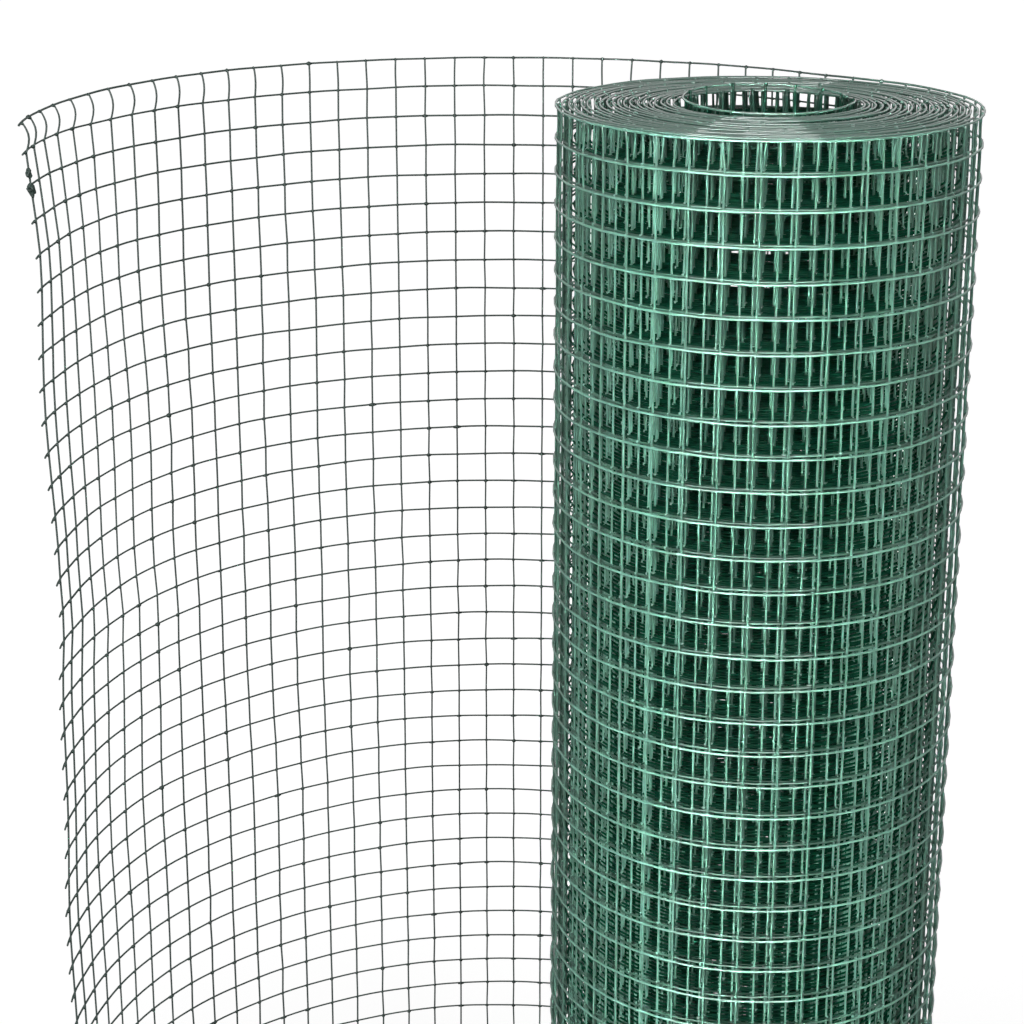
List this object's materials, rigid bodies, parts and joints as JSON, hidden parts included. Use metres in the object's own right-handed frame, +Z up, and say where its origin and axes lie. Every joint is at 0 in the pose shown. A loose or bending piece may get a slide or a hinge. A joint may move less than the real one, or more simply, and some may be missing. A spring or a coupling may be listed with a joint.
{
  "type": "roll of wire fencing",
  "caption": "Roll of green plastic-coated welded wire fencing standing on end, with an open bore and the outer end of the mesh unrolled in a curl to one side.",
  "frame": {"origin": "on the roll's axis at floor level, the plane that the outermost turn and the unrolled sheet stand on", "axes": "+Z up along the roll's axis; -Y towards the viewer of the picture; the unrolled end leaves the roll at the back right and curls round to -X"},
  "size_m": [0.431, 0.2477, 1.0047],
  "materials": {
    "green_coating": "glossy dark green plastic coating over steel wire"
  },
  "bodies": {
    "root": {"rolled_mesh": "green_coating", "unrolled_panel_1": "green_coating", "unrolled_panel_2": "green_coating", "unrolled_panel_3": "green_coating", "unrolled_panel_4": "green_coating", "unrolled_panel_5": "green_coating", "unrolled_panel_6": "green_coating"}
  },
  "joints": []
}
